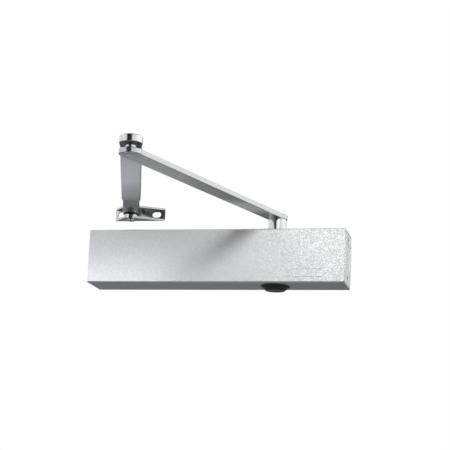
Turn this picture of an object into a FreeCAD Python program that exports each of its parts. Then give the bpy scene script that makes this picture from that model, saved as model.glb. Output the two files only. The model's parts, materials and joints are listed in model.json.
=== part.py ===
"""Overhead door closer: a hydraulic body with a folding link arm and its frame shoe.

Frame: origin at the centre of the body's back face, which lies against the door.
+X runs right along the body, +Y into the door and +Z up. Sizes are in millimetres.
The door is shut: the arm folds out in front and comes back to the shoe on the frame.
"""
import FreeCAD, Part
import math
import os

# Cover and body
COVER_LENGTH = 285.4
COVER_DEPTH = 47.0
COVER_HEIGHT = 59.0
COVER_WALL = 2.0
COVER_BACK_GAP = 0.5
COVER_EDGE_ROUND = 1.2
COVER_SPINDLE_HOLE = 26.0
CAP_RIM_DIA = 32.0
CAP_TIP_DIA = 21.2
CAP_TIP_Z = -34.6
CAP_HOLLOW_DIA = 19.0
CAP_FLOOR = 1.4
CAP_SKIRT_TOP = -27.6
END_CAP_THICK = 3.5
END_CAP_CROWN = 0.8
END_CAP_PLAY = 0.1
END_PANEL_RISE = 0.15
END_PANEL_Y = (-40.0, -7.0)
END_PANEL_HEIGHT = 32.0
END_SCREW_Y = -23.5
END_SCREW_Z = 21.0
END_SCREW_DIA = 3.0
END_SCREW_HOLE = 3.4
END_SCREW_HEAD = (5.6, 1.9)
END_SCREW_SEAT = (6.2, 1.9)
END_SCREW_REACH = 9.0
END_SCREW_TAP = 11.0
CROSS_LENGTH = 2.8
CROSS_WIDTH = 0.7
CROSS_DEPTH = 0.9
BADGE_X = (84.0, 120.0)
BADGE_Z = (-23.4, -13.6)
BADGE_PROUD = 0.5
BADGE_LINE = 1.4

# Cast housing and its long bore
HOUSING_HALF_LENGTH = 124.0
HOUSING_FRONT_Y = -43.5
HOUSING_HALF_HEIGHT = 26.0
HOUSING_ROUND = 3.0
BORE_Y = -23.0
BORE_DIA = 35.0
EAR_END_X = 139.1
EAR_FLOOR = 8.0
EAR_WALL = 10.0
FIXING_X = 131.5
FIXING_Z = 9.5
FIXING_DIA = 5.8
BOSS_DIA = 34.0
BOSS_HALF_HEIGHT = 27.2
PLUG_LENGTH = 12.0
PLUG_PLAY = 0.1
PLUG_PIN_HOLE = (4.0, 5.0, 10.0)
O_RING_WIRE = 1.95
O_RING_INSET = 4.0

# Spindle and rack
SPINDLE_X = 64.0
PITCH_RADIUS = 9.0
TEETH = 12
TIP_RADIUS = 10.4
ROOT_RADIUS = 7.6
PRESSURE_ANGLE = math.radians(20)
BACKLASH = 0.16
PINION_HALF = 13.0
JOURNAL_DIA = 14.0
JOURNAL_HALF = 27.6
SQUARE = 9.8
SQUARE_TOP = 45.9
SQUARE_BOTTOM = -32.0
BEARING_DIA = 24.0
BEARING_Z = (17.9, 23.4)
ROLLER_DIA = 3.0
ROLLER_COUNT = 15
NUT_DIA = 26.0
NUT_HOLE = 19.0
NUT_Z = (23.6, 27.0)

# Piston, check valve and closing spring
PISTON_X = (18.0, 110.0)
PISTON_DIA = 34.9
PISTON_SLOT_X = (51.0, 102.0)
PISTON_SLOT_BACK = -11.8
RACK_TIP_Y = -31.0
RACK_ROOT_Y = -33.7
SPIGOT_DIA = 22.0
SPIGOT_LENGTH = 6.0
PISTON_GROOVES = (26.0, 106.0)
PISTON_GROOVE_WIDTH = 1.6
PISTON_GROOVE_DEPTH = 0.5
VALVE_SEAT_DIA = 10.0
VALVE_SEAT_X = (13.0, 30.0)
VALVE_HOLE_DIA = 3.0
BALL_DIA = 4.6
BALL_CHAMBER_DIA = 5.2
BALL_CHAMBER_END = 37.0
SPRING_X = (-99.95, 17.95)
SPRING_WIRE = 4.6
SPRING_DIA = 32.5
SPRING_TURNS = 13
SPRING_SEAT_DIA = 33.5
SPRING_SEAT_X = (-106.0, -100.0)
SPRING_SEAT_HUB = (20.0, -92.0)
ADJUSTER_THREAD = 12.0
ADJUSTER_END_X = -78.0
ADJUSTER_COLLAR = (16.0, -111.8, -108.0)
ADJUSTER_SHANK = 10.0
ADJUSTER_SEAL_GROOVE = (14.0, 5.0, 7.2)
ADJUSTER_SEAL_WIRE = 0.9

# Speed valves: one needle screw each for closing, latching and backcheck
NEEDLE_Z = 21.8
NEEDLE_HOLE = 6.2
NEEDLE_DIA = 6.0
NEEDLE_Y = (-43.0, -28.0)
NEEDLE_TIP_Y = -25.0
NEEDLE_GROOVE = (6.0, 7.6, 1.2)
NEEDLE_SEAL_WIRE = 0.62
NEEDLE_X = {"closing_speed_valve": 92.0, "latching_speed_valve": 104.0, "backcheck_valve": 35.0}

# Main arm
ELBOW = (-25.8, -291.1)
HUB_Z = (30.3, 44.5)
HUB_DIA = 15.6
SLEEVE_DIA = 19.8
ARM_Z = (44.5, 50.0)
ARM_HUB_RADIUS = 10.8
ARM_HUB_WIDTH = 18.5
ARM_ELBOW_RADIUS = 11.0
ARM_ELBOW_WIDTH = 20.9
ARM_TOP_BEVEL = 0.8
ARM_LOW_BEVEL = 0.4
ARM_SCREW_DIA = 6.0
ARM_SCREW_HEAD = (11.0, 48.0, 49.9)
ELBOW_PIN_DIA = 10.0
ELBOW_PIN_Z = (44.1, 62.3)
ELBOW_SHOULDER = (10.8, 50.02, 54.6)
ELBOW_CLIP_DIA = 14.0
ELBOW_CLIP_Z = (60.75, 61.65)
ELBOW_GROOVE_DIA = 8.4

# Forearm
SHOE_PIVOT = (-107.4, -12.0)
KNUCKLE_DIA = 22.4
KNUCKLE_Z = (55.35, 62.6)
KNUCKLE_COUNTERBORE = (16.0, 60.6)
BUSH_FLANGE_DIA = 21.2
BUSH_FLANGE_Z = (54.7, 55.33)
BUSH_DIA = 12.0
BUSH_TOP = 60.5
CHANNEL_Z = (53.6, 55.2)
CHANNEL_WIDTH = 20.8
CHANNEL_TOP = 60.9
CHANNEL_LENGTH = 217.0
CHANNEL_SIDE = 1.2
CHANNEL_BEND = 1.5
CHANNEL_LIP = 1.0
CHANNEL_LIP_WIDTH = 2.4
SLIDER_Z = (55.3, 59.3)
SLIDER_WIDTH = 18.2
SLIDER_START = 110.0
BRIDGE_X = (178.0, 212.0)
BRIDGE_Z = (61.0, 64.0)
CLAMP_SCREW_X = (186.0, 204.0)
CLAMP_SCREW_DIA = 5.0

# Frame shoe
SHOE_X = (-128.4, -70.5)
SHOE_Z = (49.6, 64.2)
SHOE_SHEET = 2.0
SHOE_NOSE_RADIUS = 9.0
SHOE_BEND = 2.4
SLOT_X = (-120.4, -80.2)
SLOT_LENGTH = 10.4
SLOT_WIDTH = 6.5
SHOE_PIN_DIA = 8.0
SHOE_PIN_HEAD = (10.0, 1.9)
SHOE_CLIP_DIA = 12.4
SHOE_CLIP_Z = (64.35, 65.35)
SHOE_GROOVE_DIA = 6.6
SHOE_BUSH_DIA = 11.0
SHOE_WASHER_DIA = 17.3
SHOE_WASHER_Z = (54.4, 55.2)
SPACER_DIA = 15.5

HALF_LENGTH = COVER_LENGTH / 2
HALF_HEIGHT = COVER_HEIGHT / 2
FRONT_Y = -COVER_DEPTH
SPINDLE = (SPINDLE_X, BORE_Y)
MIDDLE_Z = (SHOE_Z[0] + SHOE_Z[1]) / 2
FINE = 0.02
PASS = 1.0


def vec(x, y, z):
    return FreeCAD.Vector(x, y, z)


def block(x, y, z):
    """A box from its (low, high) span along each axis."""
    return Part.makeBox(x[1] - x[0], y[1] - y[0], z[1] - z[0], vec(x[0], y[0], z[0]))


def rod_x(dia, x, y, z=0.0):
    return Part.makeCylinder(dia / 2, x[1] - x[0], vec(x[0], y, z), vec(1, 0, 0))


def rod_y(dia, y, x, z):
    return Part.makeCylinder(dia / 2, y[1] - y[0], vec(x, y[0], z), vec(0, 1, 0))


def disc(dia, z, centre=(0.0, 0.0)):
    return Part.makeCylinder(dia / 2, z[1] - z[0], vec(centre[0], centre[1], z[0]))


def ring(dia, hole, z, centre=(0.0, 0.0)):
    bore = disc(hole, (z[0] - PASS, z[1] + PASS), centre)
    return disc(dia, z, centre).cut(bore)


def cone_z(dia_low, dia_high, z, centre=(0.0, 0.0)):
    return Part.makeCone(dia_low / 2, dia_high / 2, z[1] - z[0], vec(centre[0], centre[1], z[0]))


def prism(points, z):
    """A flat outline of (x, y) corners, raised over the span z."""
    corners = [vec(x, y, z[0]) for x, y in points]
    face = Part.Face(Part.makePolygon(corners + corners[:1]))
    return face.extrude(vec(0, 0, z[1] - z[0]))


def hexagon(across_flats, z, centre=(0.0, 0.0)):
    reach = across_flats / math.sqrt(3)
    angles = [math.radians(60 * i) for i in range(6)]
    points = [(centre[0] + reach * math.cos(a), centre[1] + reach * math.sin(a)) for a in angles]
    return prism(points, z)


def square_bar(side, z, centre):
    half = side / 2
    return block((centre[0] - half, centre[0] + half), (centre[1] - half, centre[1] + half), z)


def join(*shapes):
    return shapes[0].multiFuse(list(shapes[1:])).removeSplitter()


def edges_in_plane(shape, axis, value):
    """The edges that lie in the plane where the named coordinate has one value."""
    found = []
    for edge in shape.Edges:
        low = getattr(edge.BoundBox, axis + "Min")
        high = getattr(edge.BoundBox, axis + "Max")
        if abs(low - value) < 0.001 and abs(high - value) < 0.001:
            found.append(edge)
    return found


def soften(shape, size, *heights):
    """Bevel every edge that lies at one of these heights."""
    edges = [edge for height in heights for edge in edges_in_plane(shape, "Z", height)]
    return shape.makeChamfer(size, edges)


def mirror_z(shape):
    return shape.mirror(vec(0, 0, 0), vec(0, 0, 1))


def mirror_x(shape):
    return shape.mirror(vec(0, 0, 0), vec(1, 0, 0))


def save(node, shape):
    """Write one sub-part as a clean solid, or as one compound of its solids."""
    solids = shape.Solids
    body = solids[0] if len(solids) == 1 else Part.makeCompound(solids)
    if not body.isValid():
        raise ValueError(node + " is not a valid solid")
    body.exportStep("parts/" + node + ".step")


# ---------------------------------------------------------------- cover and end caps

def rounded_pad(x, y, z, radius):
    pad = block(x, y, z)
    upright = [e for e in pad.Edges if e.BoundBox.YLength > y[1] - y[0] - 0.001]
    return pad.makeFillet(radius, upright)


def badge_frame():
    """A raised blank frame on the front."""
    outer = rounded_pad(BADGE_X, (FRONT_Y - BADGE_PROUD, FRONT_Y + 1), BADGE_Z, 2.0)
    inner_x = (BADGE_X[0] + BADGE_LINE, BADGE_X[1] - BADGE_LINE)
    inner_z = (BADGE_Z[0] + BADGE_LINE, BADGE_Z[1] - BADGE_LINE)
    return outer.cut(rounded_pad(inner_x, (FRONT_Y - 1, FRONT_Y), inner_z, 0.9))


def cover_shell():
    """The folded sheet cover: front, top and bottom walls, open at the back and ends."""
    span = (-HALF_LENGTH, HALF_LENGTH)
    depth = (FRONT_Y, -COVER_BACK_GAP)
    shell = block(span, depth, (-HALF_HEIGHT, HALF_HEIGHT))
    corners = [e for e in edges_in_plane(shell, "Y", FRONT_Y) if e.BoundBox.XLength > COVER_LENGTH / 2]
    shell = shell.makeFillet(COVER_EDGE_ROUND, corners)
    inner_z = HALF_HEIGHT - COVER_WALL
    inner_y = (FRONT_Y + COVER_WALL, PASS)
    shell = shell.cut(block((-HALF_LENGTH - PASS, HALF_LENGTH + PASS), inner_y, (-inner_z, inner_z)))
    shell = shell.cut(disc(COVER_SPINDLE_HOLE, (-HALF_HEIGHT - PASS, HALF_HEIGHT + PASS), SPINDLE))
    return join(shell, badge_frame())


def right_end_cap():
    """A crowned plate inside the cover's end, with a sunk panel and two screw seats."""
    high = HALF_HEIGHT - COVER_WALL - END_CAP_PLAY
    depth = (FRONT_Y + COVER_WALL + END_CAP_PLAY, -COVER_BACK_GAP)
    face_x = HALF_LENGTH + END_CAP_CROWN
    plate = block((HALF_LENGTH - END_CAP_THICK, face_x), depth, (-high, high))
    crown_radius = (high ** 2 + END_CAP_CROWN ** 2) / (2 * END_CAP_CROWN)
    crown = rod_y(2 * crown_radius, (depth[0] - PASS, depth[1] + PASS), face_x - crown_radius, 0)
    plate = plate.common(crown)
    half_panel = END_PANEL_HEIGHT / 2
    panel = block((HALF_LENGTH + END_PANEL_RISE, face_x + PASS), END_PANEL_Y, (-half_panel, half_panel))
    plate = plate.cut(panel)
    seat_dia, seat_depth = END_SCREW_SEAT
    hole_x = (HALF_LENGTH - END_CAP_THICK - PASS, face_x + PASS)
    for z in (-END_SCREW_Z, END_SCREW_Z):
        plate = plate.cut(rod_x(END_SCREW_HOLE, hole_x, END_SCREW_Y, z))
        plate = plate.cut(rod_x(seat_dia, (HALF_LENGTH - seat_depth, face_x + PASS), END_SCREW_Y, z))
    return plate


def end_cap_screw(sign):
    """A small round-headed screw with a cross recess, at the right end."""
    z = sign * END_SCREW_Z
    head_dia, head_height = END_SCREW_HEAD
    head_x = (HALF_LENGTH + 0.05 - head_height, HALF_LENGTH + 0.05)
    head = rod_x(head_dia, head_x, END_SCREW_Y, z)
    head = head.makeFillet(0.7, edges_in_plane(head, "X", head_x[1]))
    shank = rod_x(END_SCREW_DIA, (EAR_END_X - END_SCREW_REACH, head_x[0] + 0.1), END_SCREW_Y, z)
    screw = join(head, shank)
    cut_x = (head_x[1] - CROSS_DEPTH, head_x[1] + PASS)
    for across, upright in ((CROSS_LENGTH / 2, CROSS_WIDTH / 2), (CROSS_WIDTH / 2, CROSS_LENGTH / 2)):
        y = (END_SCREW_Y - across, END_SCREW_Y + across)
        screw = screw.cut(block(cut_x, y, (z - upright, z + upright)))
    return screw


def spindle_cap():
    """The push-in cap that closes the unused lower spindle hole."""
    rim_z = -HALF_HEIGHT - 0.05
    rim = disc(CAP_RIM_DIA, (rim_z - 1.0, rim_z), SPINDLE)
    slope = cone_z(CAP_TIP_DIA + 1.0, CAP_RIM_DIA - 0.6, (CAP_TIP_Z + 0.6, rim_z - 1.0), SPINDLE)
    tip = cone_z(CAP_TIP_DIA, CAP_TIP_DIA + 1.0, (CAP_TIP_Z, CAP_TIP_Z + 0.6), SPINDLE)
    skirt = disc(COVER_SPINDLE_HOLE - 0.4, (rim_z, CAP_SKIRT_TOP), SPINDLE)
    cap = join(rim, slope, tip, skirt)
    return cap.cut(disc(CAP_HOLLOW_DIA, (CAP_TIP_Z + CAP_FLOOR, CAP_SKIRT_TOP + PASS), SPINDLE))


# ---------------------------------------------------------------- housing and plugs

def ear():
    """The open end of the casting: a floor with two fixing holes between two walls."""
    x = (HOUSING_HALF_LENGTH - 0.5, EAR_END_X)
    z = HOUSING_HALF_HEIGHT
    floor = block(x, (-EAR_FLOOR, 0), (-z, z))
    top = block(x, (HOUSING_FRONT_Y, 0), (z - EAR_WALL, z))
    shape = join(floor, top, mirror_z(top))
    for sign in (-1, 1):
        shape = shape.cut(rod_y(FIXING_DIA, (-EAR_FLOOR - PASS, PASS), FIXING_X, sign * FIXING_Z))
        hole_x = (EAR_END_X - END_SCREW_TAP, EAR_END_X + PASS)
        shape = shape.cut(rod_x(END_SCREW_DIA + FINE, hole_x, END_SCREW_Y, sign * END_SCREW_Z))
    return shape


def housing():
    """The aluminium casting, bored from end to end, with a boss round each spindle hole."""
    long_x = (-HOUSING_HALF_LENGTH, HOUSING_HALF_LENGTH)
    high = HOUSING_HALF_HEIGHT
    cast = block(long_x, (HOUSING_FRONT_Y, 0), (-high, high))
    long_edges = [e for e in edges_in_plane(cast, "Y", HOUSING_FRONT_Y) if e.BoundBox.XLength > high]
    cast = cast.makeFillet(HOUSING_ROUND, long_edges)
    boss = disc(BOSS_DIA, (-BOSS_HALF_HEIGHT, BOSS_HALF_HEIGHT), SPINDLE)
    cast = join(cast, boss, ear(), mirror_x(ear()))
    cast = cast.cut(rod_x(BORE_DIA, (long_x[0] - 1, long_x[1] + 1), BORE_Y))
    seat_top = NUT_Z[0] - 0.1
    cast = cast.cut(disc(BEARING_DIA + FINE, (-seat_top, seat_top), SPINDLE))
    for z in ((seat_top, 30.0), (-30.0, -seat_top)):
        cast = cast.cut(disc(NUT_DIA + FINE, z, SPINDLE))
    for x in NEEDLE_X.values():
        cast = cast.cut(rod_y(NEEDLE_HOLE, (HOUSING_FRONT_Y - PASS, NEEDLE_TIP_Y + 1), x, NEEDLE_Z))
    return cast


def o_ring_groove(dia, x):
    outer = rod_x(dia + 2, (x - 1.1, x + 1.1), BORE_Y)
    return outer.cut(rod_x(dia - 4.0, (x - 2, x + 2), BORE_Y))


def right_plug():
    """The plug that closes the oil side, turned by two pin holes."""
    x = (HOUSING_HALF_LENGTH - PLUG_LENGTH, HOUSING_HALF_LENGTH)
    plug = rod_x(BORE_DIA - PLUG_PLAY, x, BORE_Y)
    plug = plug.cut(o_ring_groove(BORE_DIA - PLUG_PLAY, x[0] + O_RING_INSET))
    pin_dia, pin_depth, pin_offset = PLUG_PIN_HOLE
    for sign in (-1, 1):
        plug = plug.cut(rod_x(pin_dia, (x[1] - pin_depth, x[1] + PASS), BORE_Y + sign * pin_offset))
    return plug


def left_plug():
    """The spring-side plug, with a stepped hole for the adjusting screw."""
    plug = mirror_x(right_plug())
    shank_x = (-HOUSING_HALF_LENGTH - PASS, -HOUSING_HALF_LENGTH + PLUG_LENGTH + PASS)
    plug = plug.cut(rod_x(ADJUSTER_SHANK + 0.1, shank_x, BORE_Y))
    groove_dia, start, end = ADJUSTER_SEAL_GROOVE
    groove_x = (-HOUSING_HALF_LENGTH + start, -HOUSING_HALF_LENGTH + end)
    return plug.cut(rod_x(groove_dia, groove_x, BORE_Y))


def o_ring(outer_dia, x):
    wire = O_RING_WIRE / 2
    return Part.makeTorus(outer_dia / 2 - wire, wire, vec(x, BORE_Y, 0), vec(1, 0, 0))


# ---------------------------------------------------------------- spindle

def involute(angle):
    return math.tan(angle) - angle


def flank_angle(radius, half_thickness):
    """How far a tooth's flank stands from its centre line, at this radius."""
    base = PITCH_RADIUS * math.cos(PRESSURE_ANGLE)
    lean = involute(PRESSURE_ANGLE) - involute(math.acos(min(1.0, base / radius)))
    return half_thickness / PITCH_RADIUS + lean


def polar(radius, angle):
    return vec(radius * math.cos(angle), radius * math.sin(angle), 0)


def gear_tooth(turn, z):
    """One involute tooth, centred on the direction turn."""
    pitch = 2 * math.pi * PITCH_RADIUS / TEETH
    half_thickness = (pitch / 2 - BACKLASH / 2) / 2
    base = PITCH_RADIUS * math.cos(PRESSURE_ANGLE)
    steps = 6
    radii = [base + (TIP_RADIUS - base) * i / steps for i in range(steps + 1)]
    left = [polar(r, turn + flank_angle(r, half_thickness)) for r in radii]
    right = [polar(r, turn - flank_angle(r, half_thickness)) for r in radii]
    foot = ROOT_RADIUS - 1.0
    foot_angle = flank_angle(base, half_thickness)
    foot_left = polar(foot, turn + foot_angle)
    foot_right = polar(foot, turn - foot_angle)
    flank_left = Part.BSplineCurve()
    flank_left.interpolate(left)
    flank_right = Part.BSplineCurve()
    flank_right.interpolate(right)
    tip = Part.Arc(left[-1], polar(TIP_RADIUS, turn), right[-1])
    sides = [Part.LineSegment(foot_left, left[0]), flank_left, tip, flank_right]
    sides += [Part.LineSegment(right[0], foot_right), Part.LineSegment(foot_right, foot_left)]
    wire = Part.Wire(Part.__sortEdges__([side.toShape() for side in sides]))
    tooth = Part.Face(wire).extrude(vec(0, 0, z[1] - z[0]))
    tooth.translate(vec(SPINDLE_X, BORE_Y, z[0]))
    return tooth


def pinion_shaft():
    """The spindle: a pinion between two journals, squared at both ends."""
    gear_z = (-PINION_HALF, PINION_HALF)
    teeth = [gear_tooth(math.radians(-90) + 2 * math.pi * i / TEETH, gear_z) for i in range(TEETH)]
    core = disc(2 * ROOT_RADIUS, gear_z, SPINDLE)
    journal = disc(JOURNAL_DIA, (-JOURNAL_HALF, JOURNAL_HALF), SPINDLE)
    upper = square_bar(SQUARE, (0, SQUARE_TOP), SPINDLE)
    lower = square_bar(SQUARE, (SQUARE_BOTTOM, 0), SPINDLE)
    shaft = join(core, journal, upper, lower, *teeth)
    return shaft.cut(disc(ARM_SCREW_DIA + FINE, (SQUARE_TOP - 16, SQUARE_TOP + PASS), SPINDLE))


def upper_bearing():
    """A needle bearing: the outer ring and its ring of rollers."""
    race_hole = JOURNAL_DIA + 2 * ROLLER_DIA + 0.12
    parts = [ring(BEARING_DIA, race_hole, BEARING_Z, SPINDLE)]
    track = (JOURNAL_DIA + ROLLER_DIA + 0.06) / 2
    for i in range(ROLLER_COUNT):
        angle = 2 * math.pi * i / ROLLER_COUNT
        centre = (SPINDLE[0] + track * math.cos(angle), SPINDLE[1] + track * math.sin(angle))
        parts.append(disc(ROLLER_DIA, (BEARING_Z[0] + 0.3, BEARING_Z[1] - 0.3), centre))
    return Part.makeCompound(parts)


def upper_bearing_nut():
    """The ring nut that holds the bearing, with four spanner slots."""
    nut = ring(NUT_DIA, NUT_HOLE, NUT_Z, SPINDLE)
    slot_x = (NUT_HOLE / 2 - PASS, NUT_DIA / 2 + PASS)
    slot_z = (NUT_Z[1] - 1.2, NUT_Z[1] + PASS)
    for i in range(4):
        slot = block(slot_x, (-1.2, 1.2), slot_z)
        slot.rotate(vec(0, 0, 0), vec(0, 0, 1), 45 + 90 * i)
        slot.translate(vec(SPINDLE[0], SPINDLE[1], 0))
        nut = nut.cut(slot)
    return nut


def upper_shaft_seal():
    """The lip seal that runs on the journal, inside the nut."""
    seal = ring(NUT_HOLE - 0.04, JOURNAL_DIA + 0.08, (NUT_Z[0] + 0.3, NUT_Z[1] - 0.3), SPINDLE)
    trough = ring(NUT_HOLE - 1.8, JOURNAL_DIA + 1.8, (NUT_Z[1] - 1.2, NUT_Z[1]), SPINDLE)
    return seal.cut(trough)


# ---------------------------------------------------------------- piston, check valve, spring

def rack_teeth():
    """Straight-sided teeth along the front of the piston's slot."""
    pitch = 2 * math.pi * PITCH_RADIUS / TEETH
    pitch_y = BORE_Y - PITCH_RADIUS
    lean = math.tan(PRESSURE_ANGLE)
    half = (pitch / 2 - BACKLASH / 2) / 2
    tip_half = half - (RACK_TIP_Y - pitch_y) * lean
    root_half = half + (pitch_y - RACK_ROOT_Y) * lean
    teeth = []
    first = math.ceil((PISTON_SLOT_X[0] - SPINDLE_X) / pitch)
    last = math.floor((PISTON_SLOT_X[1] - SPINDLE_X) / pitch)
    for i in range(first, last):
        x = SPINDLE_X + (i + 0.5) * pitch
        points = [(x - root_half, RACK_ROOT_Y - 0.5), (x - root_half, RACK_ROOT_Y)]
        points += [(x - tip_half, RACK_TIP_Y), (x + tip_half, RACK_TIP_Y)]
        points += [(x + root_half, RACK_ROOT_Y), (x + root_half, RACK_ROOT_Y - 0.5)]
        teeth.append(prism(points, (-14.0, 14.0)))
    return teeth


def piston():
    """The piston, slotted for the spindle, with a rack on one side of the slot."""
    body = rod_x(PISTON_DIA, PISTON_X, BORE_Y)
    rims = edges_in_plane(body, "X", PISTON_X[0]) + edges_in_plane(body, "X", PISTON_X[1])
    body = body.makeChamfer(0.8, rims)
    spigot = rod_x(SPIGOT_DIA, (PISTON_X[0] - SPIGOT_LENGTH, PISTON_X[0] + 1), BORE_Y)
    body = join(body, spigot)
    slot = block(PISTON_SLOT_X, (RACK_ROOT_Y, PISTON_SLOT_BACK), (-20.0, 20.0))
    body = body.cut(slot)
    inside = rod_x(PISTON_DIA - 1.0, PISTON_X, BORE_Y)
    body = join(body, *[tooth.common(inside) for tooth in rack_teeth()])
    body = body.cut(rod_x(VALVE_SEAT_DIA, (PISTON_X[0] - SPIGOT_LENGTH - PASS, VALVE_SEAT_X[1]), BORE_Y))
    body = body.cut(rod_x(BALL_CHAMBER_DIA, (VALVE_SEAT_X[1] - 0.1, BALL_CHAMBER_END), BORE_Y))
    body = body.cut(rod_x(VALVE_HOLE_DIA, (BALL_CHAMBER_END - 0.1, PISTON_SLOT_X[0] + 1), BORE_Y))
    core = rod_x(PISTON_DIA - 2 * PISTON_GROOVE_DEPTH, PISTON_X, BORE_Y)
    for x in PISTON_GROOVES:
        groove = rod_x(PISTON_DIA + 2, (x, x + PISTON_GROOVE_WIDTH), BORE_Y)
        body = body.cut(groove.cut(core))
    return body


def check_valve_seat():
    seat = rod_x(VALVE_SEAT_DIA - 2 * FINE, VALVE_SEAT_X, BORE_Y)
    seat = seat.cut(rod_x(VALVE_HOLE_DIA, (VALVE_SEAT_X[0] - PASS, VALVE_SEAT_X[1] + PASS), BORE_Y))
    socket = hexagon(5.0, (0, 4.0))
    socket.rotate(vec(0, 0, 0), vec(0, 1, 0), 90)
    socket.translate(vec(VALVE_SEAT_X[0] - PASS, BORE_Y, 0))
    return seat.cut(socket)


def check_valve_ball():
    stand_off = math.sqrt((BALL_DIA / 2) ** 2 - (VALVE_HOLE_DIA / 2) ** 2)
    return Part.makeSphere(BALL_DIA / 2, vec(VALVE_SEAT_X[1] + stand_off + FINE, BORE_Y, 0))


def closing_spring():
    """The compression spring, with both ends ground flat."""
    coil_radius = (SPRING_DIA - SPRING_WIRE) / 2
    length = SPRING_X[1] - SPRING_X[0] - SPRING_WIRE * 0.4
    path = Part.makeHelix(length / SPRING_TURNS, length, coil_radius)
    start = path.Edges[0].valueAt(path.Edges[0].FirstParameter)
    tangent = path.Edges[0].tangentAt(path.Edges[0].FirstParameter)
    profile = Part.Wire(Part.makeCircle(SPRING_WIRE / 2, start, tangent))
    coil = Part.Wire(path.Edges).makePipeShell([profile], True, True)
    coil.rotate(vec(0, 0, 0), vec(0, 1, 0), 90)
    coil.translate(vec(SPRING_X[0] + SPRING_WIRE * 0.2, BORE_Y, 0))
    return coil.common(rod_x(SPRING_DIA + 4, SPRING_X, BORE_Y))


def spring_seat():
    """The nut that the adjusting screw drives against the spring."""
    hub_dia, hub_end = SPRING_SEAT_HUB
    flange = rod_x(SPRING_SEAT_DIA, SPRING_SEAT_X, BORE_Y)
    hub = rod_x(hub_dia, (SPRING_SEAT_X[0], hub_end), BORE_Y)
    hole = rod_x(ADJUSTER_THREAD + 0.1, (SPRING_SEAT_X[0] - PASS, hub_end + PASS), BORE_Y)
    return join(flange, hub).cut(hole)


def spring_adjuster():
    """The power-adjusting screw: socketed shank, collar and long thread."""
    collar_dia, collar_start, collar_end = ADJUSTER_COLLAR
    shank = rod_x(ADJUSTER_SHANK, (-HOUSING_HALF_LENGTH - 0.5, collar_start + 0.5), BORE_Y)
    collar = rod_x(collar_dia, (collar_start, collar_end), BORE_Y)
    thread = rod_x(ADJUSTER_THREAD, (collar_end - 0.5, ADJUSTER_END_X), BORE_Y)
    thread = thread.makeChamfer(1.0, edges_in_plane(thread, "X", ADJUSTER_END_X))
    socket = hexagon(5.0, (0, 6.0))
    socket.rotate(vec(0, 0, 0), vec(0, 1, 0), 90)
    socket.translate(vec(-HOUSING_HALF_LENGTH - PASS, BORE_Y, 0))
    return join(shank, collar, thread).cut(socket)


def adjuster_o_ring():
    wire = ADJUSTER_SEAL_WIRE
    _, start, end = ADJUSTER_SEAL_GROOVE
    x = -HOUSING_HALF_LENGTH + (start + end) / 2
    return Part.makeTorus(ADJUSTER_SHANK / 2 + wire + 0.08, wire, vec(x, BORE_Y, 0), vec(1, 0, 0))


# ---------------------------------------------------------------- speed valves

def speed_valve(x):
    """A slotted needle screw with a tapered tip and a ring groove."""
    stem = rod_y(NEEDLE_DIA, NEEDLE_Y, x, NEEDLE_Z)
    tip_length = NEEDLE_TIP_Y - NEEDLE_Y[1]
    tip = Part.makeCone(NEEDLE_DIA / 2, 0.6, tip_length, vec(x, NEEDLE_Y[1], NEEDLE_Z), vec(0, 1, 0))
    needle = join(stem, tip)
    start, end, depth = NEEDLE_GROOVE
    core = rod_y(NEEDLE_DIA - 2 * depth, NEEDLE_Y, x, NEEDLE_Z)
    groove = rod_y(NEEDLE_DIA + 2, (NEEDLE_Y[0] + start, NEEDLE_Y[0] + end), x, NEEDLE_Z).cut(core)
    slot = block((x - 5, x + 5), (NEEDLE_Y[0] - PASS, NEEDLE_Y[0] + 1.4), (NEEDLE_Z - 0.5, NEEDLE_Z + 0.5))
    return needle.cut(groove).cut(slot)


def valve_o_ring(x):
    wire = NEEDLE_SEAL_WIRE
    middle = NEEDLE_Y[0] + (NEEDLE_GROOVE[0] + NEEDLE_GROOVE[1]) / 2
    major = NEEDLE_HOLE / 2 - wire - 0.02
    return Part.makeTorus(major, wire, vec(x, middle, NEEDLE_Z), vec(0, 1, 0))


# ---------------------------------------------------------------- main arm

def heading(start, end):
    return math.degrees(math.atan2(end[1] - start[1], end[0] - start[0]))


def distance(start, end):
    return math.hypot(end[0] - start[0], end[1] - start[1])


def lay_along(shape, start, end):
    """Turn a link built along +X from the origin so that it runs from start to end."""
    shape.rotate(vec(0, 0, 0), vec(0, 0, 1), heading(start, end))
    shape.translate(vec(start[0], start[1], 0))
    return shape


def main_arm():
    """The flat forged arm, with the square-holed hub under one end."""
    length = distance(SPINDLE, ELBOW)
    near, far = ARM_HUB_WIDTH / 2, ARM_ELBOW_WIDTH / 2
    bar = prism([(0, -near), (length, -far), (length, far), (0, near)], ARM_Z)
    flat = join(bar, disc(2 * ARM_HUB_RADIUS, ARM_Z), disc(2 * ARM_ELBOW_RADIUS, ARM_Z, (length, 0)))
    flat = soften(flat, ARM_TOP_BEVEL, ARM_Z[1])
    flat = soften(flat, ARM_LOW_BEVEL, ARM_Z[0])
    arm = join(flat, disc(HUB_DIA, (HUB_Z[0], HUB_Z[1] + 1)))
    arm = arm.cut(disc(ELBOW_PIN_DIA + FINE, (ARM_Z[0] - PASS, ARM_Z[1] + PASS), (length, 0)))
    arm = lay_along(arm, SPINDLE, ELBOW)
    arm = arm.cut(square_bar(SQUARE + 0.12, (HUB_Z[0] - PASS, SQUARE_TOP + 0.1), SPINDLE))
    head_dia, head_low, _ = ARM_SCREW_HEAD
    arm = arm.cut(disc(head_dia + 0.3, (head_low - 0.02, ARM_Z[1] + PASS), SPINDLE))
    return arm.cut(disc(ARM_SCREW_DIA + 0.6, (HUB_Z[0], ARM_Z[1] + PASS), SPINDLE))


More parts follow.
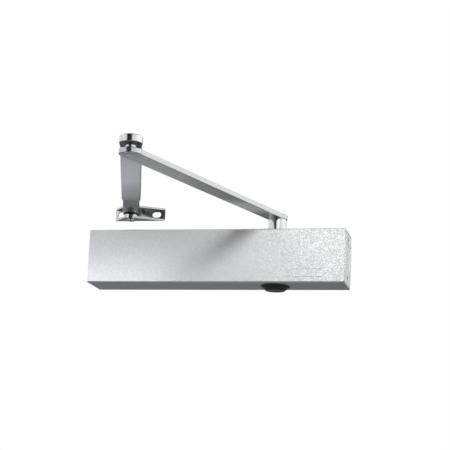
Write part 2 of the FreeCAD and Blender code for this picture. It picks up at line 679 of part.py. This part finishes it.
def arm_sleeve():
    """The bright turned sleeve pressed over the arm's hub."""
    z = (HUB_Z[0], HUB_Z[1] - 0.05)
    return soften(ring(SLEEVE_DIA, HUB_DIA + FINE, z, SPINDLE), 0.5, z[0])


def socket_screw(dia, head_dia, head, tip_z, centre, key, key_depth):
    """A cap screw: head over the span head, shank down to tip_z, hexagon socket."""
    top = soften(disc(head_dia, head, centre), 0.4, head[1])
    shank = disc(dia, (tip_z, head[0] + 0.5), centre)
    return join(top, shank).cut(hexagon(key, (head[1] - key_depth, head[1] + PASS), centre))


def arm_screw():
    """The low-headed screw, sunk in the arm, that holds it on the square."""
    head_dia, head_low, head_high = ARM_SCREW_HEAD
    head = (head_low, head_high)
    return socket_screw(ARM_SCREW_DIA, head_dia, head, SQUARE_TOP - 12, SPINDLE, 4.0, 2.6)


def elbow_pin():
    """The pivot riveted into the arm: a shoulder, a journal and a groove for the clip."""
    pin = soften(disc(ELBOW_PIN_DIA, ELBOW_PIN_Z, ELBOW), 0.45, *ELBOW_PIN_Z)
    dia, low, high = ELBOW_SHOULDER
    pin = join(pin, disc(dia, (low, high), ELBOW))
    groove_z = (ELBOW_CLIP_Z[0] - 0.05, ELBOW_CLIP_Z[1] + 0.05)
    return pin.cut(ring(ELBOW_PIN_DIA + 2, ELBOW_GROOVE_DIA, groove_z, ELBOW))


def clip(dia, groove_dia, z, centre, gap):
    """An open spring clip that sits in a pin's groove, its gap towards +Y."""
    x = (centre[0] - gap / 2, centre[0] + gap / 2)
    opening = block(x, (centre[1], centre[1] + dia), (z[0] - PASS, z[1] + PASS))
    return ring(dia, groove_dia + 0.1, z, centre).cut(opening)


def elbow_circlip():
    return clip(ELBOW_CLIP_DIA, ELBOW_GROOVE_DIA, ELBOW_CLIP_Z, ELBOW, 5.0)


# ---------------------------------------------------------------- forearm

def elbow_knuckle():
    """The bright turned boss at the forearm's end, counterbored for the clip."""
    knuckle = soften(disc(KNUCKLE_DIA, KNUCKLE_Z, ELBOW), 0.8, KNUCKLE_Z[1])
    knuckle = soften(knuckle, 0.3, KNUCKLE_Z[0])
    knuckle = knuckle.cut(disc(BUSH_DIA + FINE, (KNUCKLE_Z[0] - PASS, KNUCKLE_Z[1]), ELBOW))
    bore_dia, bore_floor = KNUCKLE_COUNTERBORE
    return knuckle.cut(disc(bore_dia, (bore_floor, KNUCKLE_Z[1] + PASS), ELBOW))


def elbow_bush():
    """The black flanged bush that the forearm turns on."""
    sleeve = disc(BUSH_DIA, (BUSH_FLANGE_Z[0], BUSH_TOP), ELBOW)
    bush = join(sleeve, disc(BUSH_FLANGE_DIA, BUSH_FLANGE_Z, ELBOW))
    return bush.cut(disc(ELBOW_PIN_DIA + 0.1, (BUSH_FLANGE_Z[0] - PASS, BUSH_TOP + PASS), ELBOW))


def forearm_channel():
    """The outer half of the forearm: a pressed channel welded round the knuckle."""
    half = CHANNEL_WIDTH / 2
    channel = block((0, CHANNEL_LENGTH), (-half, half), (CHANNEL_Z[0], CHANNEL_TOP))
    low_edges = edges_in_plane(channel, "Z", CHANNEL_Z[0])
    bends = [edge for edge in low_edges if edge.BoundBox.XLength > half]
    channel = channel.makeFillet(CHANNEL_BEND, bends)
    run = (-PASS, CHANNEL_LENGTH + PASS)
    inside = half - CHANNEL_SIDE
    mouth = half - CHANNEL_LIP_WIDTH
    channel = channel.cut(block(run, (-inside, inside), (CHANNEL_Z[1], CHANNEL_TOP - CHANNEL_LIP)))
    channel = channel.cut(block(run, (-mouth, mouth), (CHANNEL_Z[1] + 1, CHANNEL_TOP + PASS)))
    channel = channel.cut(disc(KNUCKLE_DIA, (CHANNEL_Z[0] - PASS, CHANNEL_TOP + PASS)))
    return lay_along(channel, ELBOW, SHOE_PIVOT)


def forearm_slider():
    """The inner half of the forearm: a flat bar with the shoe's eye at its end."""
    half = SLIDER_WIDTH / 2
    reach = distance(ELBOW, SHOE_PIVOT)
    bar = block((SLIDER_START, reach), (-half, half), SLIDER_Z)
    slider = join(bar, disc(SLIDER_WIDTH, SLIDER_Z, (reach, 0)))
    slider = soften(slider, 0.4, SLIDER_Z[0], SLIDER_Z[1])
    slider = slider.cut(disc(SHOE_BUSH_DIA + FINE, (SLIDER_Z[0] - PASS, SLIDER_Z[1] + PASS), (reach, 0)))
    return lay_along(slider, ELBOW, SHOE_PIVOT)


def clamp_bridge():
    """The strap across the channel's lips that carries the two clamp screws."""
    half = CHANNEL_WIDTH / 2
    strap = block(BRIDGE_X, (-half, half), BRIDGE_Z)
    tongue_half = half - CHANNEL_LIP_WIDTH - 0.1
    tongue_z = (CHANNEL_TOP - CHANNEL_LIP, BRIDGE_Z[0] + 1)
    tongue = block(BRIDGE_X, (-tongue_half, tongue_half), tongue_z)
    bridge = soften(join(strap, tongue), 0.5, BRIDGE_Z[1])
    for x in CLAMP_SCREW_X:
        bridge = bridge.cut(disc(CLAMP_SCREW_DIA + FINE, (CHANNEL_Z[0], BRIDGE_Z[1] + PASS), (x, 0)))
    return lay_along(bridge, ELBOW, SHOE_PIVOT)


def clamp_screw(x):
    head = (BRIDGE_Z[1] + 0.02, BRIDGE_Z[1] + 3.0)
    screw = socket_screw(CLAMP_SCREW_DIA, 9.0, head, SLIDER_Z[1] + 0.02, (x, 0), 3.0, 2.4)
    return lay_along(screw, ELBOW, SHOE_PIVOT)


# ---------------------------------------------------------------- frame shoe

def tangent_point(point, centre, radius, side):
    """Where the line from a point touches a circle, on the side +1 or -1."""
    span = distance(point, centre)
    bearing = math.atan2(point[1] - centre[1], point[0] - centre[0])
    angle = bearing + side * math.acos(radius / span)
    return (centre[0] + radius * math.cos(angle), centre[1] + radius * math.sin(angle))


def shoe_flange(z):
    """One flange: it tapers from the plate to a round nose at the pivot."""
    left = (SHOE_X[0], -SHOE_SHEET)
    right = (SHOE_X[1], -SHOE_SHEET)
    left_touch = tangent_point(left, SHOE_PIVOT, SHOE_NOSE_RADIUS, 1)
    right_touch = tangent_point(right, SHOE_PIVOT, SHOE_NOSE_RADIUS, -1)
    outline = [(SHOE_X[0], 0), left, left_touch, right_touch, right, (SHOE_X[1], 0)]
    return join(prism(outline, z), disc(2 * SHOE_NOSE_RADIUS, z, SHOE_PIVOT))


def slot_hole(x):
    """A level slot through the plate."""
    run = (SLOT_LENGTH - SLOT_WIDTH) / 2
    y = (-SHOE_SHEET - PASS, PASS)
    middle = block((x - run, x + run), y, (MIDDLE_Z - SLOT_WIDTH / 2, MIDDLE_Z + SLOT_WIDTH / 2))
    ends = [rod_y(SLOT_WIDTH, y, x + sign * run, MIDDLE_Z) for sign in (-1, 1)]
    return join(middle, *ends)


def shoe_bracket():
    """The pressed U-shaped bracket that is screwed to the frame."""
    plate = block(SHOE_X, (-SHOE_SHEET, 0), SHOE_Z)
    low = shoe_flange((SHOE_Z[0], SHOE_Z[0] + SHOE_SHEET))
    high = shoe_flange((SHOE_Z[1] - SHOE_SHEET, SHOE_Z[1]))
    bracket = join(plate, low, high)
    bends = [e for e in edges_in_plane(bracket, "Y", 0.0) if e.BoundBox.XLength > SHOE_X[1] - SHOE_X[0] - 1]
    bracket = bracket.makeFillet(SHOE_BEND, bends)
    for x in SLOT_X:
        bracket = bracket.cut(slot_hole(x))
    hole = disc(SHOE_PIN_DIA + FINE, (SHOE_Z[0] - PASS, SHOE_Z[1] + PASS), SHOE_PIVOT)
    return bracket.cut(hole)


def shoe_pin():
    """The headed pivot pin, grooved near its top for the circlip."""
    head_dia, head_height = SHOE_PIN_HEAD
    head_low = SHOE_Z[0] - head_height
    head = soften(disc(head_dia, (head_low, SHOE_Z[0] - 0.02), SHOE_PIVOT), 0.4, head_low)
    stem_top = SHOE_Z[1] + 2.4
    stem = soften(disc(SHOE_PIN_DIA, (SHOE_Z[0] - 0.5, stem_top), SHOE_PIVOT), 0.5, stem_top)
    groove_z = (SHOE_CLIP_Z[0] - 0.05, SHOE_CLIP_Z[1] + 0.05)
    return join(head, stem).cut(ring(SHOE_PIN_DIA + 2, SHOE_GROOVE_DIA, groove_z, SHOE_PIVOT))


def shoe_circlip():
    return clip(SHOE_CLIP_DIA, SHOE_GROOVE_DIA, SHOE_CLIP_Z, SHOE_PIVOT, 4.4)


def shoe_bush():
    """The black sleeve pressed into the slider's eye."""
    z = (SLIDER_Z[0] - 0.02, SLIDER_Z[1] + 0.02)
    return ring(SHOE_BUSH_DIA, SHOE_PIN_DIA + 0.1, z, SHOE_PIVOT)


def shoe_washer():
    return ring(SHOE_WASHER_DIA, SHOE_PIN_DIA + 0.1, SHOE_WASHER_Z, SHOE_PIVOT)


def shoe_spacer(z):
    return soften(ring(SPACER_DIA, SHOE_PIN_DIA + FINE, z, SHOE_PIVOT), 0.3, z[0], z[1])


# ---------------------------------------------------------------- write every sub-part

def save_body():
    save("cover_shell", cover_shell())
    save("right_end_cap", right_end_cap())
    save("left_end_cap", mirror_x(right_end_cap()))
    for sign, level in ((1, "upper"), (-1, "lower")):
        save("right_end_screw_" + level, end_cap_screw(sign))
        save("left_end_screw_" + level, mirror_x(end_cap_screw(sign)))
    save("spindle_cap", spindle_cap())
    save("housing", housing())
    save("right_plug", right_plug())
    save("left_plug", left_plug())
    ring_x = HOUSING_HALF_LENGTH - PLUG_LENGTH + O_RING_INSET
    save("right_plug_o_ring", o_ring(BORE_DIA - 0.04, ring_x))
    save("left_plug_o_ring", o_ring(BORE_DIA - 0.04, -ring_x))


def save_works():
    save("pinion_shaft", pinion_shaft())
    save("upper_bearing", upper_bearing())
    save("lower_bearing", mirror_z(upper_bearing()))
    save("upper_bearing_nut", upper_bearing_nut())
    save("lower_bearing_nut", mirror_z(upper_bearing_nut()))
    save("upper_shaft_seal", upper_shaft_seal())
    save("lower_shaft_seal", mirror_z(upper_shaft_seal()))
    save("piston", piston())
    save("check_valve_seat", check_valve_seat())
    save("check_valve_ball", check_valve_ball())
    save("closing_spring", closing_spring())
    save("spring_seat", spring_seat())
    save("spring_adjuster", spring_adjuster())
    save("adjuster_o_ring", adjuster_o_ring())
    for name, x in NEEDLE_X.items():
        save(name, speed_valve(x))
        save(name.replace("valve", "o_ring"), valve_o_ring(x))


def save_arm():
    save("main_arm", main_arm())
    save("arm_sleeve", arm_sleeve())
    save("arm_screw", arm_screw())
    save("elbow_pin", elbow_pin())
    save("elbow_circlip", elbow_circlip())
    save("elbow_knuckle", elbow_knuckle())
    save("elbow_bush", elbow_bush())
    save("forearm_channel", forearm_channel())
    save("forearm_slider", forearm_slider())
    save("clamp_bridge", clamp_bridge())
    for name, x in zip(("outer", "inner"), CLAMP_SCREW_X):
        save("clamp_screw_" + name, clamp_screw(x))


def save_shoe():
    save("shoe_bracket", shoe_bracket())
    save("shoe_pin", shoe_pin())
    save("shoe_circlip", shoe_circlip())
    save("shoe_bush", shoe_bush())
    save("shoe_washer", shoe_washer())
    save("shoe_spacer_lower", shoe_spacer((SHOE_Z[0] + SHOE_SHEET + 0.1, SHOE_WASHER_Z[0] - 0.1)))
    save("shoe_spacer_upper", shoe_spacer((SLIDER_Z[1] + 0.1, SHOE_Z[1] - SHOE_SHEET - 0.1)))


os.makedirs("parts", exist_ok=True)
save_body()
save_works()
save_arm()
save_shoe()
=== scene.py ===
import json
import math

import bmesh
import bpy
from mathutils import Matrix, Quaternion, Vector


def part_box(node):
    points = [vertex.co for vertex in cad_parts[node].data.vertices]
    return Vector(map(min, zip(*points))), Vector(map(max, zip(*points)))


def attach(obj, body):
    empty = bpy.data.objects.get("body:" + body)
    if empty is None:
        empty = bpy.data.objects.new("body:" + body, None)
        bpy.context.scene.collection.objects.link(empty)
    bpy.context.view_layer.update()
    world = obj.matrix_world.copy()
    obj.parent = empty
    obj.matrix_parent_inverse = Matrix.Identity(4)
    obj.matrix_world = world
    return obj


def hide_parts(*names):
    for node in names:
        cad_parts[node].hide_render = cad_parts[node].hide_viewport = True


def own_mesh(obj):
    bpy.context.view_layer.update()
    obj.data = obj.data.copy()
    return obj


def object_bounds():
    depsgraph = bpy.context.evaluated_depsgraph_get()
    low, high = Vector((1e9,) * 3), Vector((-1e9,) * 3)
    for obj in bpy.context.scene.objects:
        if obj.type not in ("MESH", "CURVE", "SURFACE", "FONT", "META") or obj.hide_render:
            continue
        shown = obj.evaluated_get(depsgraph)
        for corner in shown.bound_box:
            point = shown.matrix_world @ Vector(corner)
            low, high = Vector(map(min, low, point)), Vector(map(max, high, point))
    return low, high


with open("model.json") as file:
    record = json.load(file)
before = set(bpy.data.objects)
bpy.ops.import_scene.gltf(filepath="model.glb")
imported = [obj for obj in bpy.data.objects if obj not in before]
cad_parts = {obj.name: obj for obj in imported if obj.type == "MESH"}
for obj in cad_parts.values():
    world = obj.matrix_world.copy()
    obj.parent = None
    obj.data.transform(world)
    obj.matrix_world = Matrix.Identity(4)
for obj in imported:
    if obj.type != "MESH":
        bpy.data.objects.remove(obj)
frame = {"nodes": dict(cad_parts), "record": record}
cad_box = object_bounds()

MM = 0.001
WELD_DISTANCE = 0.001 * MM

# Camera: in front of the closer, to its right and below it, turned left and up towards it
CAMERA_PLACE = (0.3595, -1.5296, -0.3134)
CAMERA_TURN_LEFT = math.radians(12.667)
CAMERA_TILT_UP = math.radians(12.323)
CAMERA_ROLL = math.radians(2.396)
CAMERA_LENS = 114.74
CAMERA_SHIFT = (-0.03, 0.03)

FLOOR_DROP = 0.40
FLOOR_SIZE = 40.0

# Cells in a metre of the silver paint's flakes, seen in its colour and grain, and in its gloss
PAINT_FLAKES = 1500.0
PAINT_GLOSS_FLAKES = 900.0

# The room's brightness by height: two heights of the direction, then the level at each
ROOM_BY_HEIGHT = (-0.30, 0.15, 0.20, 0.85)
# Wide patches of the room: a direction, two closenesses to it, then the factor at each
ROOM_PATCHES = {
    "dark_front": ((0.01, -0.97, 0.22), (0.86, 0.95, 1.0, 0.02)),
    "dim_low_front": ((0.00, -0.93, -0.37), (0.75, 0.92, 1.0, 0.3)),
    "dim_back": ((0.10, 1.00, 0.0), (0.80, 1.0, 1.0, 0.32)),
    "bright_right": ((0.88, 0.47, 0.1), (0.5, 0.95, 1.0, 1.35)),
    "dim_ceiling": ((0.00, 0.00, 1.0), (0.6, 0.9, 1.0, 0.3)),
}

# Area lights in metres and watts. Each one is aimed at a point, and reaches either only the
# pieces named in "only" or all but the polished metal.
OBJECT_MIDDLE = (0.0, -0.1, 0.0)
POLISHED = ("bright_steel", "zinc_plate", "arm_silver")
LIGHTS = {
    "key_strip": {
        "place": (0.24, -2.3, 0.75), "aim": OBJECT_MIDDLE,
        "size": (1.8, 0.36), "watts": 15.9, "roll": math.radians(36)},
    "low_left": {
        "place": (-0.155, -0.155, -0.010), "aim": (-0.125, -0.047, -0.018),
        "size": (0.15, 0.03), "watts": 0.034, "only": "cover_shell"},
    "high_right": {
        "place": (0.08, -0.225, 0.075), "aim": (0.11, -0.047, 0.03),
        "size": (0.12, 0.03), "watts": 0.012, "only": "cover_shell"},
    "under": {
        "place": (0.03, -0.08, -0.27), "aim": (0.03, -0.023, -0.03),
        "size": (0.4, 0.1), "watts": 0.16, "only": "cover_shell"},
    "hub_side": {
        "place": (0.395, -1.18, 0.29), "aim": (0.064, -0.023, 0.04),
        "size": (0.7, 0.5), "watts": 1.2, "only": "arm_sleeve"},
    "end_side": {
        "place": (0.65, -0.25, 0.0), "aim": (0.143, -0.023, 0.0),
        "size": (0.3, 0.3), "watts": 4.4, "only": "right_end_cap"},
    "shoe_side": {
        "place": (-0.25, -0.30, 0.125), "aim": (-0.12, 0.0, 0.057),
        "size": (0.1, 0.1), "watts": 0.03, "only": "zinc_plate"},
    "top_soft": {
        "place": (0.0, -0.2, 1.8), "aim": OBJECT_MIDDLE,
        "size": (1.6, 1.2), "watts": 8},
}


# ---------------------------------------------------------------- node helpers

class Tree:
    """A node tree, with short calls to add its nodes and to link them."""

    def __init__(self, tree):
        self.tree = tree

    def add(self, kind, **settings):
        node = self.tree.nodes.new(kind)
        for name, value in settings.items():
            setattr(node, name, value)
        return node

    def link(self, start, end):
        self.tree.links.new(start, end)


class Nodes(Tree):
    """A material's node tree."""

    def __init__(self, name):
        self.material = bpy.data.materials.new(name)
        self.material.use_nodes = True
        super().__init__(self.material.node_tree)
        self.shader = self.tree.nodes["Principled BSDF"]
        self.place = self.add("ShaderNodeTexCoord").outputs["Object"]

    def set(self, **values):
        """Set the shader's inputs that are the same all over."""
        for name, value in values.items():
            self.shader.inputs[name.replace("_", " ")].default_value = value

    def noise(self, scale, detail=2.0, roughness=0.5, stretch=(1, 1, 1)):
        """Noise with features about 1/scale metres across."""
        mapping = self.add("ShaderNodeMapping")
        mapping.inputs["Scale"].default_value = stretch
        texture = self.add("ShaderNodeTexNoise")
        texture.inputs["Scale"].default_value = scale
        texture.inputs["Detail"].default_value = detail
        texture.inputs["Roughness"].default_value = roughness
        self.link(self.place, mapping.inputs["Vector"])
        self.link(mapping.outputs["Vector"], texture.inputs["Vector"])
        return texture.outputs["Fac"]

    def flakes(self, scale):
        """One random value for each small cell, as metal flakes give."""
        texture = self.add("ShaderNodeTexVoronoi")
        texture.inputs["Scale"].default_value = scale
        self.link(self.place, texture.inputs["Vector"])
        split = self.add("ShaderNodeSeparateColor")
        self.link(texture.outputs["Color"], split.inputs["Color"])
        return split.outputs["Red"]

    def ramp(self, value, low, high):
        """Spread a 0 to 1 value between two colours."""
        ramp = self.add("ShaderNodeValToRGB")
        ramp.color_ramp.elements[0].color = (*low, 1.0)
        ramp.color_ramp.elements[1].color = (*high, 1.0)
        self.link(value, ramp.inputs["Fac"])
        return ramp.outputs["Color"]

    def spread(self, value, low, high):
        """Map a 0 to 1 value to a plain number between low and high."""
        node = self.add("ShaderNodeMapRange")
        node.inputs["To Min"].default_value = low
        node.inputs["To Max"].default_value = high
        self.link(value, node.inputs["Value"])
        return node.outputs["Result"]

    def blend(self, first, second):
        """Half of each colour."""
        mix = self.add("ShaderNodeMix", data_type="RGBA")
        mix.inputs["Factor"].default_value = 0.5
        self.link(first, mix.inputs["A"])
        self.link(second, mix.inputs["B"])
        return mix.outputs["Result"]

    def bump(self, height, distance, strength, after=None):
        """Relief as deep as distance, laid over the relief of after."""
        node = self.add("ShaderNodeBump")
        node.inputs["Distance"].default_value = distance
        node.inputs["Strength"].default_value = strength
        self.link(height, node.inputs["Height"])
        if after is not None:
            self.link(after, node.inputs["Normal"])
        return node.outputs["Normal"]

    def finish(self, colour, roughness, normal=None):
        self.link(colour, self.shader.inputs["Base Color"])
        self.link(roughness, self.shader.inputs["Roughness"])
        if normal is not None:
            self.link(normal, self.shader.inputs["Normal"])
        return self.material


# ---------------------------------------------------------------- materials

def silver_paint():
    """Satin silver coating with fine metal flakes and a slight orange peel."""
    m = Nodes("silver_paint")
    flakes = m.ramp(m.flakes(PAINT_FLAKES), (0.50, 0.505, 0.53), (0.735, 0.745, 0.775))
    cloud = m.ramp(m.noise(420.0, 3.0), (0.555, 0.565, 0.59), (0.675, 0.685, 0.71))
    m.set(Metallic=0.75, Coat_Weight=0.12, Coat_Roughness=0.25)
    peel = m.bump(m.noise(700.0, 2.0), 0.02 * MM, 0.5)
    grain = m.bump(m.flakes(PAINT_FLAKES), 0.012 * MM, 0.35, after=peel)
    gloss = m.spread(m.flakes(PAINT_GLOSS_FLAKES), 0.36, 0.50)
    return m.finish(m.blend(flakes, cloud), gloss, grain)


def arm_silver():
    """Smooth silver coating with a soft gloss and a slight ripple."""
    m = Nodes("arm_silver")
    cloud = m.ramp(m.noise(260.0, 4.0, 0.55), (0.59, 0.60, 0.635), (0.69, 0.70, 0.735))
    m.set(Metallic=0.9)
    ripple = m.bump(m.noise(260.0, 2.0), 0.02 * MM, 0.3)
    return m.finish(cloud, m.spread(m.noise(420.0, 3.0), 0.13, 0.21), ripple)


def zinc_plate():
    """Pressed steel with a bright zinc coat: faint rolling lines and cloudy sheen."""
    m = Nodes("zinc_plate")
    cloud = m.ramp(m.noise(160.0, 4.0, 0.6), (0.52, 0.535, 0.56), (0.74, 0.735, 0.72))
    lines = m.noise(900.0, 2.0, 0.5, stretch=(0.08, 1.0, 1.0))
    m.set(Metallic=1.0)
    normal = m.bump(lines, 0.015 * MM, 0.5)
    return m.finish(cloud, m.spread(m.noise(300.0, 3.0), 0.10, 0.20), normal)


def bright_steel():
    """Turned and plated: fine rings left by the tool."""
    m = Nodes("bright_steel")
    cloud = m.ramp(m.noise(240.0, 3.0), (0.70, 0.71, 0.72), (0.86, 0.865, 0.87))
    rings = m.noise(2600.0, 1.0, 0.5, stretch=(0.05, 0.05, 1.0))
    m.set(Metallic=1.0)
    normal = m.bump(rings, 0.01 * MM, 0.4)
    return m.finish(cloud, m.spread(m.noise(500.0, 2.0), 0.12, 0.22), normal)


def black_plastic():
    """Moulded black plastic with a fine spark-eroded grain."""
    m = Nodes("black_plastic")
    tint = m.ramp(m.noise(180.0, 3.0), (0.012, 0.012, 0.013), (0.028, 0.028, 0.030))
    grain = m.bump(m.noise(1800.0, 3.0, 0.7), 0.04 * MM, 0.6)
    return m.finish(tint, m.spread(m.noise(700.0, 2.0), 0.20, 0.32), grain)


def cast_aluminium():
    """Sand-cast skin: grey, grainy and dull."""
    m = Nodes("cast_aluminium")
    skin = m.ramp(m.noise(350.0, 5.0, 0.65), (0.40, 0.405, 0.41), (0.62, 0.625, 0.63))
    m.set(Metallic=0.9)
    grain = m.bump(m.noise(1100.0, 4.0, 0.7), 0.12 * MM, 0.8)
    return m.finish(skin, m.spread(m.noise(500.0, 3.0), 0.50, 0.72), grain)


def turned_metal(name, low, high, smooth, rough):
    """Turned bar stock: tool marks across X and a little stain, between two colours."""
    m = Nodes(name)
    stain = m.ramp(m.noise(220.0, 4.0, 0.6), low, high)
    marks = m.noise(2200.0, 1.0, 0.5, stretch=(1.0, 0.06, 0.06))
    m.set(Metallic=1.0)
    normal = m.bump(marks, 0.012 * MM, 0.5)
    return m.finish(stain, m.spread(m.noise(420.0, 3.0), smooth, rough), normal)


def seal_rubber():
    """Dull moulded rubber with a dusty bloom."""
    m = Nodes("seal_rubber")
    bloom = m.ramp(m.noise(260.0, 4.0, 0.6), (0.010, 0.010, 0.010), (0.040, 0.040, 0.041))
    grain = m.bump(m.noise(1500.0, 3.0), 0.03 * MM, 0.5)
    return m.finish(bloom, m.spread(m.noise(400.0, 2.0), 0.60, 0.80), grain)


def make_materials():
    return {
        "silver_paint": silver_paint(),
        "arm_silver": arm_silver(),
        "zinc_plate": zinc_plate(),
        "bright_steel": bright_steel(),
        "black_plastic": black_plastic(),
        "cast_aluminium": cast_aluminium(),
        "turned_aluminium": turned_metal(
            "turned_aluminium", (0.62, 0.63, 0.64), (0.76, 0.765, 0.77), 0.22, 0.34),
        "machined_steel": turned_metal(
            "machined_steel", (0.40, 0.41, 0.43), (0.56, 0.57, 0.59), 0.20, 0.36),
        "spring_steel": turned_metal(
            "spring_steel", (0.10, 0.105, 0.12), (0.22, 0.225, 0.24), 0.30, 0.48),
        "brass": turned_metal(
            "brass", (0.62, 0.44, 0.18), (0.80, 0.62, 0.32), 0.20, 0.34),
        "seal_rubber": seal_rubber(),
    }


def dress_nodes(materials):
    """Give every CAD node the material of its slot."""
    slots = {part["node"]: part["material_slot"] for part in frame["record"]["subparts"]}
    for node, slot in slots.items():
        item = frame["nodes"][node]
        item.data.materials.clear()
        item.data.materials.append(materials[slot])


# ---------------------------------------------------------------- closing spring

def cut_coil(middle, is_left):
    """A closed mesh of the closing spring on one side of its middle."""
    whole = frame["nodes"]["closing_spring"]
    mesh = whole.data.copy()
    mesh.transform(whole.matrix_world)
    coil = bmesh.new()
    coil.from_mesh(mesh)
    bmesh.ops.remove_doubles(coil, verts=coil.verts, dist=WELD_DISTANCE)
    everything = coil.verts[:] + coil.edges[:] + coil.faces[:]
    cut = bmesh.ops.bisect_plane(
        coil, geom=everything, plane_co=(middle, 0, 0), plane_no=(1, 0, 0),
        clear_outer=is_left, clear_inner=not is_left)
    rim = [item for item in cut["geom_cut"] if isinstance(item, bmesh.types.BMEdge)]
    bmesh.ops.edgenet_fill(coil, edges=rim)
    coil.to_mesh(mesh)
    coil.free()
    return mesh


def spring_half(name, is_left):
    """Half of the closing spring, cut at its middle and attached to the closer body."""
    low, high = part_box("closing_spring")
    middle = (low[0] + high[0]) / 2
    half = bpy.data.objects.new(name, cut_coil(middle, is_left))
    bpy.context.collection.objects.link(half)
    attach(half, "closer_body")
    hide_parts("closing_spring")
    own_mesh(half)


def split_spring():
    """Cut the closing spring into a left and a right half, both attached to the closer body. In the
    closer, the power screw's nut pushes the left half in and the piston the right half.
    """
    spring_half("closing_spring_left", True)
    spring_half("closing_spring_right", False)


# ---------------------------------------------------------------- studio

def pale_floor():
    floor_z = cad_box[0][2] - FLOOR_DROP
    bpy.ops.mesh.primitive_plane_add(size=FLOOR_SIZE, location=(0, 0, floor_z))
    floor = bpy.context.object
    floor.name = "floor"
    m = Nodes("floor_paint")
    m.set(Specular_IOR_Level=0.2)
    tint = m.ramp(m.noise(6.0, 3.0), (0.80, 0.80, 0.805), (0.84, 0.84, 0.845))
    floor.data.materials.append(m.finish(tint, m.spread(m.noise(20.0), 0.70, 0.80)))
    floor.visible_glossy = False
    floor.visible_diffuse = False


def soft_light(name, kind):
    """An area light that faces its aim, turned by its roll about its own beam."""
    data = bpy.data.lights.new(name, "AREA")
    data.shape = "RECTANGLE"
    data.size, data.size_y = kind["size"]
    data.energy = kind["watts"]
    light = bpy.data.objects.new(name, data)
    bpy.context.collection.objects.link(light)
    light.location = kind["place"]
    light.visible_camera = False
    facing = (Vector(kind["aim"]) - Vector(kind["place"])).to_track_quat("-Z", "Y")
    roll = Quaternion((0, 0, 1), kind.get("roll", 0.0))
    light.rotation_euler = (facing @ roll).to_euler()
    return light


def nodes_with(*slots):
    """The CAD objects whose material slot is one of these."""
    parts = frame["record"]["subparts"]
    return [frame["nodes"][part["node"]] for part in parts if part["material_slot"] in slots]


def choose_lit(light, pieces, state):
    """Let a light reach only these pieces (INCLUDE), or all but these (EXCLUDE)."""
    group = bpy.data.collections.new(light.name + "_pieces")
    for piece in pieces:
        group.objects.link(piece)
    for entry in group.collection_objects:
        entry.light_linking.link_state = state
    light.light_linking.receiver_collection = group


class Room(Tree):
    """The world's node tree."""

    def __init__(self, name):
        world = bpy.data.worlds.new(name)
        bpy.context.scene.world = world
        world.use_nodes = True
        super().__init__(world.node_tree)
        self.tree.nodes.clear()

    def spread(self, value, start, end, low, high):
        """Map start to low and end to high, smoothly between and level beyond."""
        node = self.add("ShaderNodeMapRange", interpolation_type="SMOOTHSTEP")
        node.inputs["From Min"].default_value = start
        node.inputs["From Max"].default_value = end
        node.inputs["To Min"].default_value = low
        node.inputs["To Max"].default_value = high
        self.link(value, node.inputs["Value"])
        return node.outputs["Result"]

    def times(self, first, second):
        node = self.add("ShaderNodeMath", operation="MULTIPLY")
        self.link(first, node.inputs[0])
        self.link(second, node.inputs[1])
        return node.outputs["Value"]

    def closeness(self, way, direction):
        """The cosine of the angle between a way and a fixed direction."""
        node = self.add("ShaderNodeVectorMath", operation="DOT_PRODUCT")
        node.inputs[1].default_value = Vector(direction).normalized()
        self.link(way, node.inputs[0])
        return node.outputs["Value"]

    def white(self):
        node = self.add("ShaderNodeBackground")
        node.inputs["Color"].default_value = (1, 1, 1, 1)
        return node


def room_level(room):
    """How bright the room is in each direction."""
    way = room.add("ShaderNodeTexCoord").outputs["Generated"]
    split = room.add("ShaderNodeSeparateXYZ")
    room.link(way, split.inputs["Vector"])
    level = room.spread(split.outputs["Z"], *ROOM_BY_HEIGHT)
    for direction, span in ROOM_PATCHES.values():
        level = room.times(level, room.spread(room.closeness(way, direction), *span))
    return level


def white_room():
    """A plain white background whose light is uneven, so that bright metal has something to mirror."""
    room = Room("white_room")
    level = room_level(room)
    seen = room.white()
    lit = room.white()
    room.link(level, lit.inputs["Strength"])
    mix = room.add("ShaderNodeMixShader")
    room.link(room.add("ShaderNodeLightPath").outputs["Is Camera Ray"], mix.inputs["Fac"])
    room.link(lit.outputs["Background"], mix.inputs[1])
    room.link(seen.outputs["Background"], mix.inputs[2])
    room.link(mix.outputs["Shader"], room.add("ShaderNodeOutputWorld").inputs["Surface"])


def studio_lights():
    """Hang the lights; "only" names a node or a material slot."""
    for name, kind in LIGHTS.items():
        light = soft_light(name, kind)
        only = kind.get("only")
        if only is None:
            choose_lit(light, nodes_with(*POLISHED), "EXCLUDE")
        elif only in frame["nodes"]:
            choose_lit(light, [frame["nodes"][only]], "INCLUDE")
        else:
            choose_lit(light, nodes_with(only), "INCLUDE")


def add_camera():
    data = bpy.data.cameras.new("camera")
    data.lens = CAMERA_LENS
    data.shift_x, data.shift_y = CAMERA_SHIFT
    camera = bpy.data.objects.new("camera", data)
    bpy.context.collection.objects.link(camera)
    camera.location = CAMERA_PLACE
    turn = Quaternion((0, 0, 1), CAMERA_TURN_LEFT)
    tilt = Quaternion((1, 0, 0), math.pi / 2 + CAMERA_TILT_UP)
    roll = Quaternion((0, 0, 1), CAMERA_ROLL)
    camera.rotation_euler = (turn @ tilt @ roll).to_euler()
    bpy.context.scene.camera = camera


dress_nodes(make_materials())
split_spring()
pale_floor()
white_room()
studio_lights()
add_camera()
bpy.context.scene.view_settings.view_transform = "Standard"
